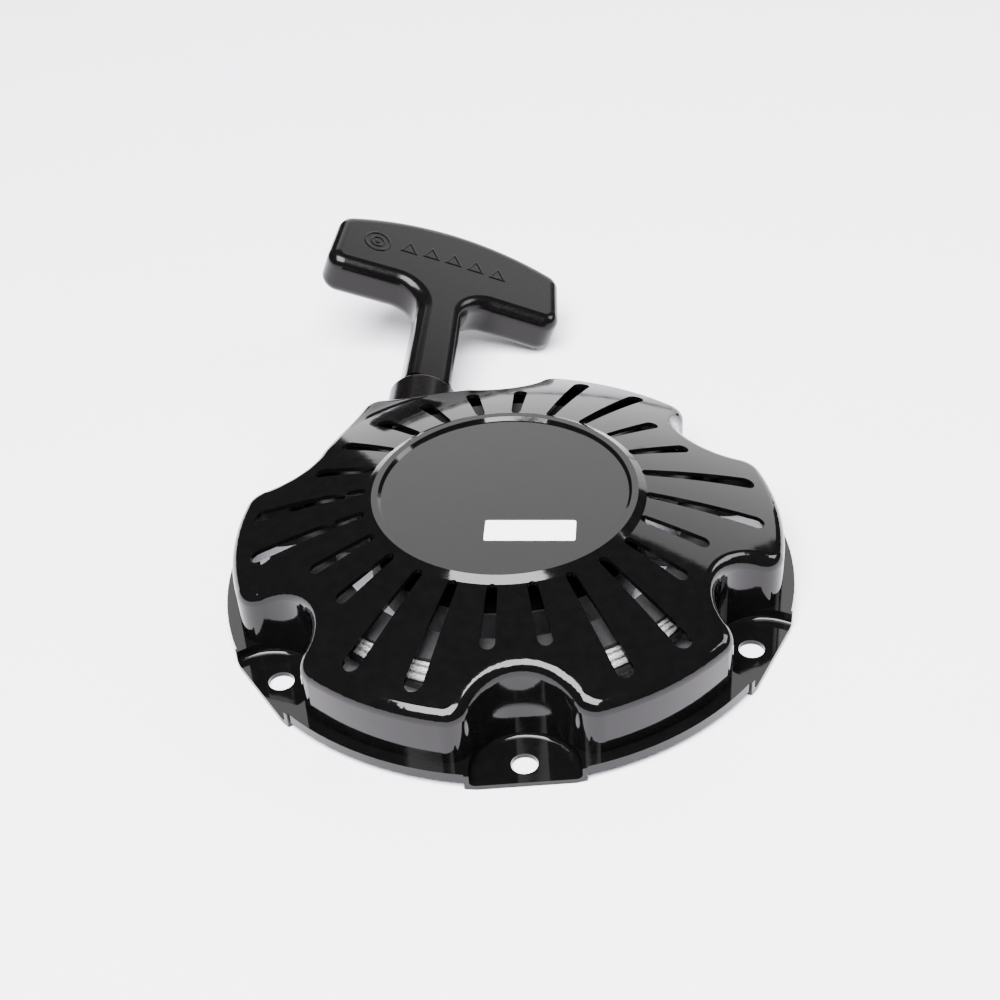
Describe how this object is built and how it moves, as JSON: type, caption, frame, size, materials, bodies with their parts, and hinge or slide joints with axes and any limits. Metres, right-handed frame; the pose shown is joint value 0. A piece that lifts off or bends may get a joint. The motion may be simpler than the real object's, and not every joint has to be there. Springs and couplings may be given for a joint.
{
  "type": "recoil starter",
  "caption": "Pull-rope recoil starter for a small engine: lobed steel housing, spring-returned reel with pawls, rope and T handle.",
  "frame": {"origin": "centre of the bolt circle, on the plane of the mounting tabs' undersides", "axes": "+Z along the reel's axis, out through the domed roof; +Y towards the side the rope leaves from; +X completes the right-handed set"},
  "size_m": [0.1972, 0.2844, 0.0537],
  "materials": {
    "black_gloss_paint": "high gloss black paint on pressed steel",
    "label_stock": "white film label, blank",
    "plated_steel": "zinc plated",
    "spring_steel": "blued spring steel",
    "guide_plastic": "satin gloss black",
    "handle_plastic": "satin gloss black",
    "reel_plastic": "matt black",
    "pawl_plastic": "dark grey glass-filled plastic",
    "rope": "braided, off white"
  },
  "bodies": {
    "housing": {"housing": "black_gloss_paint", "label": "label_stock", "centre_post": "plated_steel", "thrust_washer": "plated_steel", "centre_screw": "plated_steel", "friction_spring": "spring_steel", "rope_guide": "guide_plastic", "guide_clip": "plated_steel", "guide_ferrule": "plated_steel", "rope_lead": "rope"},
    "reel": {"reel": "reel_plastic", "spring_cover": "black_gloss_paint", "spring_cover_screws": "plated_steel", "recoil_spring": "spring_steel", "rope_coil": "rope", "reel_knot": "rope", "pawl_spring_1": "spring_steel", "pawl_spring_2": "spring_steel"},
    "ratchet_guide": {"ratchet_guide": "plated_steel"},
    "pawl_1": {"pawl_1": "pawl_plastic"},
    "pawl_2": {"pawl_2": "pawl_plastic"},
    "rope_end": {"handle_washer": "plated_steel", "handle_knot": "rope"},
    "handle": {"handle": "handle_plastic", "handle_plug": "handle_plastic"}
  },
  "joints": [
    {"name": "reel_spin", "type": "hinge", "parent": "housing", "child": "reel", "pos_m": [0, 0, 0.012], "axis": [0, 0, -1], "range_deg": [0, 900], "stiffness_Nm_per_rad": 0.03, "springref_deg": -859.44, "deforming": ["recoil_spring"]},
    {"name": "handle_pull", "type": "slide", "parent": "housing", "child": "rope_end", "axis": [0.1439, 0.9742, 0.1736], "range_m": [0, 1.1], "deforming": ["rope_lead"]},
    {"name": "handle_twist", "type": "hinge", "parent": "rope_end", "child": "handle", "pos_m": [-0.0282, 0.095, 0.016], "axis": [0.1439, 0.9742, 0.1736], "range_deg": [-180, 180]},
    {"name": "guide_turn", "type": "hinge", "parent": "reel", "child": "ratchet_guide", "pos_m": [0, 0, 0.0052], "axis": [0, 0, 1], "range_deg": [0, 30], "stiffness_Nm_per_rad": 0.005, "springref_deg": -22.92},
    {"name": "pawl_1_swing", "type": "hinge", "parent": "reel", "child": "pawl_1", "pos_m": [0.024, 0, 0.0083], "axis": [0, 0, 1], "range_deg": [0, 30], "deforming": ["pawl_spring_1"]},
    {"name": "pawl_2_swing", "type": "hinge", "parent": "reel", "child": "pawl_2", "pos_m": [-0.024, 0, 0.0083], "axis": [0, 0, 1], "range_deg": [0, 30], "deforming": ["pawl_spring_2"]}
  ],
  "couplings": [
    {"joint": "handle_pull", "follows": "reel_spin", "m_per_rad": 0.07},
    {"joint": "pawl_1_swing", "follows": "guide_turn", "ratio": 1},
    {"joint": "pawl_2_swing", "follows": "guide_turn", "ratio": 1}
  ]
}
